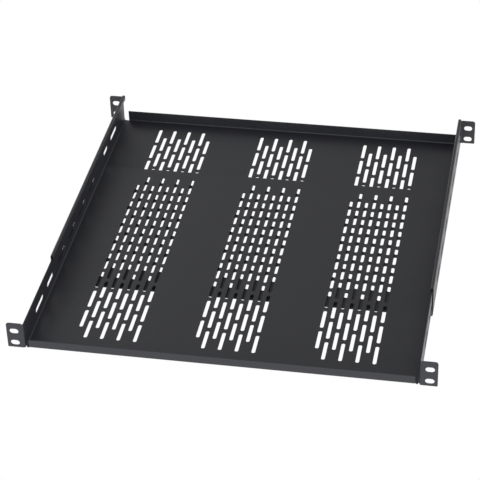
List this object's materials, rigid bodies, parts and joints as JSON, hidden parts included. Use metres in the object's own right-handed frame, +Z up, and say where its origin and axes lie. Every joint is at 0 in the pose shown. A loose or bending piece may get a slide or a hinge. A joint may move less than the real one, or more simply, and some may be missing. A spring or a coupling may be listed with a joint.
{
  "type": "cantilever rack shelf",
  "caption": "Vented steel rack shelf in two sliding trays that set its depth, with slotted ears at the front and the back and low lips across both ends.",
  "frame": {"origin": "centre of the four mounting slots, in the front face of the front ears", "axes": "+Z up, +Y from the front rails to the rear rails, X along the rack's width, which the shelf's outline mirrors about"},
  "size_m": [0.4826, 0.4935, 0.0404],
  "materials": {
    "front_tray_paint": "semi-gloss black powder coat",
    "rear_tray_paint": "semi-gloss black powder coat"
  },
  "bodies": {
    "front": {"front_tray": "front_tray_paint"},
    "rear": {"rear_tray": "rear_tray_paint"}
  },
  "joints": [
    {"name": "depth_slide", "type": "slide", "parent": "front", "child": "rear", "axis": [0, 1, 0], "range_m": [-0.115, 0.15]}
  ]
}
